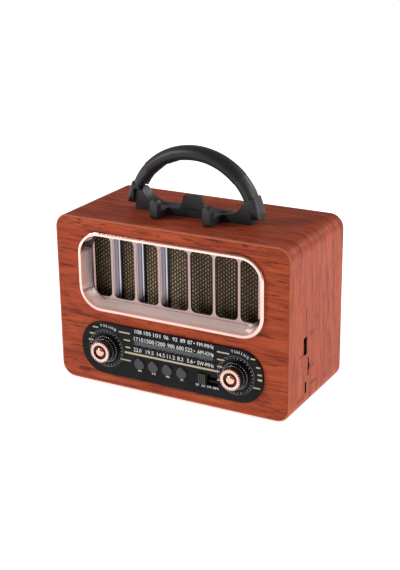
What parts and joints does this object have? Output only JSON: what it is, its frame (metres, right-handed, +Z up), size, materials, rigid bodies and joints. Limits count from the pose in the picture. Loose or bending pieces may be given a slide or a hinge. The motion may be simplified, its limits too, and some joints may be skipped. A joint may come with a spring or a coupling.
{
  "type": "tabletop radio",
  "caption": "Retro tabletop radio with a wood-grain cabinet, plated louvred grille, dial panel with knobs and keys, folding carry handle with phone stand, and a rear telescopic aerial.",
  "frame": {"origin": "on the surface that the feet stand on, under the middle of the whole radio", "axes": "+Z up, +X to the listener's right, front of the radio towards -Y"},
  "size_m": [0.2, 0.114, 0.1911],
  "materials": {
    "wood_wrap": "satin wood-grain wrap",
    "fibre_board": "raw",
    "rose_plating": "polished rose-gold plating",
    "copper_plating": "polished copper plating",
    "gloss_black": "gloss",
    "matte_black": "fine texture",
    "grip_rubber": "soft matte",
    "foot_rubber": "matte",
    "speaker_fabric": "woven",
    "steel": "zinc plated",
    "chrome_tube": "polished",
    "cone_paper": "matte",
    "ferrite": "matte",
    "clear_plastic": "clear",
    "red_plastic": "gloss",
    "circuit_board": "satin",
    "copper_wire": "enamelled",
    "cell_wrap": "shrink wrap",
    "nylon": "satin",
    "led_lens": "clear tint"
  },
  "bodies": {
    "radio": {"cabinet_shell": "wood_wrap", "front_panel": "wood_wrap", "rear_cover": "matte_black", "rear_screws": "steel", "rubber_feet": "foot_rubber", "grille_bezel": "rose_plating", "speaker_cloth": "speaker_fabric", "speaker_board": "fibre_board", "speaker_frame": "steel", "speaker_cone": "cone_paper", "speaker_magnet": "ferrite", "speaker_screws": "steel", "dial_panel": "gloss_black", "dial_window": "clear_plastic", "pointer_rail": "nylon", "dial_cord": "nylon", "volume_control": "steel", "tuning_control": "steel", "tact_switches": "matte_black", "band_switch_body": "steel", "control_board": "circuit_board", "main_board": "circuit_board", "usb_socket": "steel", "card_socket": "steel", "charge_socket": "steel", "status_leds": "led_lens", "battery_holder": "matte_black", "battery_cell": "cell_wrap", "ferrite_rod": "ferrite", "ferrite_coil": "copper_wire", "ferrite_holders": "nylon", "handle_bracket": "matte_black", "bracket_screws": "steel", "aerial_base": "chrome_tube", "aerial_rest": "matte_black"},
    "handle": {"handle_frame": "matte_black", "handle_grip": "grip_rubber", "hinge_pins": "steel"},
    "volume_turning": {"volume_knob": "gloss_black", "volume_knob_ring": "rose_plating", "volume_knob_dome": "copper_plating", "volume_shaft": "steel"},
    "tuning_turning": {"tuning_knob": "gloss_black", "tuning_knob_ring": "rose_plating", "tuning_knob_dome": "copper_plating", "tuning_shaft": "steel", "dial_drum": "nylon"},
    "pointer": {"tuning_pointer": "red_plastic"},
    "upper_pulley": {"upper_idler": "nylon"},
    "lower_pulley": {"lower_idler": "nylon"},
    "previous_key": {"previous_button": "gloss_black"},
    "play_key": {"play_button": "gloss_black"},
    "next_key": {"next_button": "gloss_black"},
    "mode_key": {"mode_button": "gloss_black"},
    "band_lever": {"band_switch_lever": "matte_black"},
    "aerial_swivel_part": {"aerial_knuckle": "chrome_tube"},
    "aerial_outer": {"aerial_tube_1": "chrome_tube"},
    "aerial_second": {"aerial_tube_2": "chrome_tube"},
    "aerial_third": {"aerial_tube_3": "chrome_tube"},
    "aerial_rod": {"aerial_tip": "chrome_tube"}
  },
  "joints": [
    {"name": "handle_fold", "type": "hinge", "parent": "radio", "child": "handle", "pos_m": [0, -0.003, 0.148], "axis": [1, 0, 0], "range_deg": [-90, 60]},
    {"name": "volume_turn", "type": "hinge", "parent": "radio", "child": "volume_turning", "pos_m": [-0.0567, -0.05, 0.033], "axis": [0, 1, 0], "range_deg": [-150, 150]},
    {"name": "tuning_turn", "type": "hinge", "parent": "radio", "child": "tuning_turning", "pos_m": [0.0567, -0.05, 0.033], "axis": [0, 1, 0], "range_deg": [-15, 285]},
    {"name": "pointer_slide", "type": "slide", "parent": "radio", "child": "pointer", "axis": [1, 0, 0], "range_m": [-0.0033, 0.0613]},
    {"name": "upper_pulley_turn", "type": "hinge", "parent": "radio", "child": "upper_pulley", "pos_m": [-0.038, -0.0406, 0.0421], "axis": [0, 1, 0], "range_deg": [-60, 1100]},
    {"name": "lower_pulley_turn", "type": "hinge", "parent": "radio", "child": "lower_pulley", "pos_m": [-0.038, -0.0406, 0.0239], "axis": [0, 1, 0], "range_deg": [-60, 1100]},
    {"name": "previous_press", "type": "slide", "parent": "radio", "child": "previous_key", "axis": [0, 1, 0], "range_m": [0, 0.0008], "stiffness_N_per_m": 1200, "springref_m": -0.0003},
    {"name": "play_press", "type": "slide", "parent": "radio", "child": "play_key", "axis": [0, 1, 0], "range_m": [0, 0.0008], "stiffness_N_per_m": 1200, "springref_m": -0.0003},
    {"name": "next_press", "type": "slide", "parent": "radio", "child": "next_key", "axis": [0, 1, 0], "range_m": [0, 0.0008], "stiffness_N_per_m": 1200, "springref_m": -0.0003},
    {"name": "mode_press", "type": "slide", "parent": "radio", "child": "mode_key", "axis": [0, 1, 0], "range_m": [0, 0.0008], "stiffness_N_per_m": 1200, "springref_m": -0.0003},
    {"name": "band_slide", "type": "slide", "parent": "radio", "child": "band_lever", "axis": [1, 0, 0], "range_m": [0, 0.009]},
    {"name": "aerial_swivel", "type": "hinge", "parent": "radio", "child": "aerial_swivel_part", "pos_m": [0.082, 0.0535, 0.124], "axis": [0, 1, 0], "range_deg": [0, 180]},
    {"name": "aerial_tilt", "type": "hinge", "parent": "aerial_swivel_part", "child": "aerial_outer", "pos_m": [0.073, 0.0535, 0.124], "axis": [0, 0, -1], "range_deg": [0, 90]},
    {"name": "aerial_pull_1", "type": "slide", "parent": "aerial_outer", "child": "aerial_second", "axis": [-1, 0, 0], "range_m": [0, 0.095]},
    {"name": "aerial_pull_2", "type": "slide", "parent": "aerial_second", "child": "aerial_third", "axis": [-1, 0, 0], "range_m": [0, 0.093]},
    {"name": "aerial_pull_3", "type": "slide", "parent": "aerial_third", "child": "aerial_rod", "axis": [-1, 0, 0], "range_m": [0, 0.078]}
  ],
  "couplings": [
    {"joint": "pointer_slide", "follows": "tuning_turn", "m_per_rad": 0.0123},
    {"joint": "upper_pulley_turn", "follows": "tuning_turn", "ratio": 3.8438},
    {"joint": "lower_pulley_turn", "follows": "tuning_turn", "ratio": 3.8438}
  ]
}
